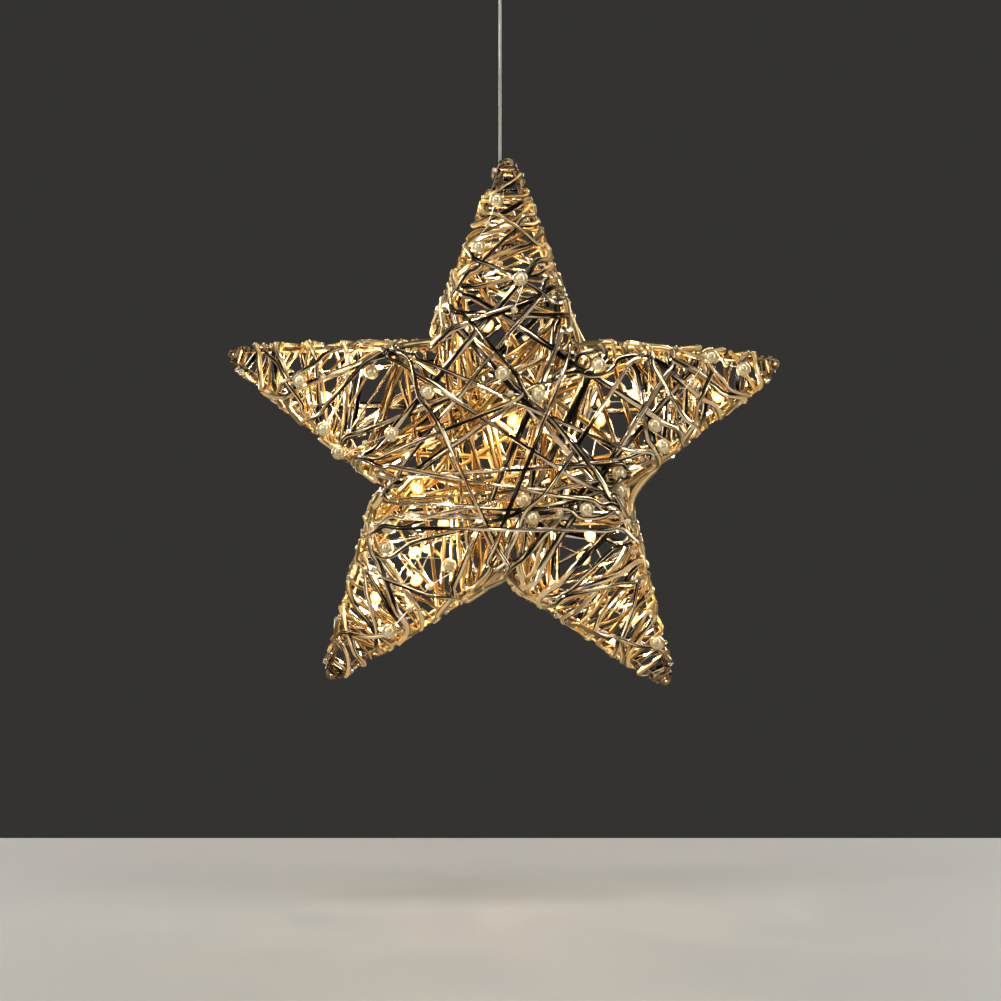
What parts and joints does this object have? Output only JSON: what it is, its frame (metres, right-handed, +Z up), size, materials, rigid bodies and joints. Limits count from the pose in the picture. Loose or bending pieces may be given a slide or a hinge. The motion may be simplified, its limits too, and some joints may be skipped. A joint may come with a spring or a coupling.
{
  "type": "led christmas star",
  "caption": "Hanging five-pointed wire star wound with gold strands and pearls, lit inside by an LED string, on a lead from a battery case.",
  "frame": {"origin": "inside top of the eye's bore on the battery case, where a hook bears; the lead and the star's turning axis lie on Z through it", "axes": "+Z up along the lead, the star faces -Y, +X to the right as seen from the front"},
  "size_m": [0.2994, 0.0873, 0.4741],
  "materials": {
    "frame_wire": "dark bronze wire",
    "gold_strand": "shiny champagne gold foil",
    "pearl": "ivory pearl lustre",
    "light": "warm white resin drops on thin wire",
    "lead": "pale translucent",
    "case": "fine satin ivory",
    "switch": "satin black",
    "cell": "plain grey wrap",
    "contact": "nickel plate"
  },
  "bodies": {
    "case": {"case_tray": "case", "hanging_eye": "case", "strain_relief": "lead", "supply_lead": "lead", "cell_left": "cell", "cell_right": "cell", "spring_left": "contact", "spring_right": "contact", "contact_left": "contact", "contact_right": "contact", "contact_bridge": "contact", "switch_body": "switch"},
    "cover": {"battery_cover": "case"},
    "knob": {"switch_knob": "switch"},
    "star": {"front_outline": "frame_wire", "back_outline": "frame_wire", "spacer_1": "frame_wire", "spacer_2": "frame_wire", "spacer_3": "frame_wire", "spacer_4": "frame_wire", "spacer_5": "frame_wire", "arm_1_inner_winding": "gold_strand", "arm_1_outer_winding": "gold_strand", "arm_2_inner_winding": "gold_strand", "arm_2_outer_winding": "gold_strand", "arm_3_inner_winding": "gold_strand", "arm_3_outer_winding": "gold_strand", "arm_4_inner_winding": "gold_strand", "arm_4_outer_winding": "gold_strand", "arm_5_inner_winding": "gold_strand", "arm_5_outer_winding": "gold_strand", "body_strand_1": "gold_strand", "body_strand_2": "gold_strand", "body_strand_3": "gold_strand", "body_strand_4": "gold_strand", "body_strand_5": "gold_strand", "body_strand_6": "gold_strand", "body_strand_7": "gold_strand", "body_strand_8": "gold_strand", "body_strand_9": "gold_strand", "arm_1_cross_strand": "gold_strand", "arm_2_cross_strand": "gold_strand", "arm_3_cross_strand": "gold_strand", "arm_4_cross_strand": "gold_strand", "arm_5_cross_strand": "gold_strand", "long_strand_1": "gold_strand", "long_strand_2": "gold_strand", "long_strand_3": "gold_strand", "long_strand_4": "gold_strand", "pearls_top": "pearl", "pearls_heart": "pearl", "pearls_right": "pearl", "pearls_left": "pearl", "pearls_lower_right": "pearl", "pearls_lower_left": "pearl", "pearls_back_upper": "pearl", "pearls_back_left": "pearl", "pearls_back_lower": "pearl", "lead_sleeve": "lead", "light_string": "light"}
  },
  "joints": [
    {"name": "star_turn", "type": "hinge", "parent": "case", "child": "star", "pos_m": [0, 0, -0.1846], "axis": [0, 0, 1], "range_deg": [-180, 180]},
    {"name": "cover_slide", "type": "slide", "parent": "case", "child": "cover", "axis": [0, 0, 1], "range_m": [0, 0.058]},
    {"name": "switch_slide", "type": "slide", "parent": "case", "child": "knob", "axis": [1, 0, 0], "range_m": [0, 0.003]}
  ]
}
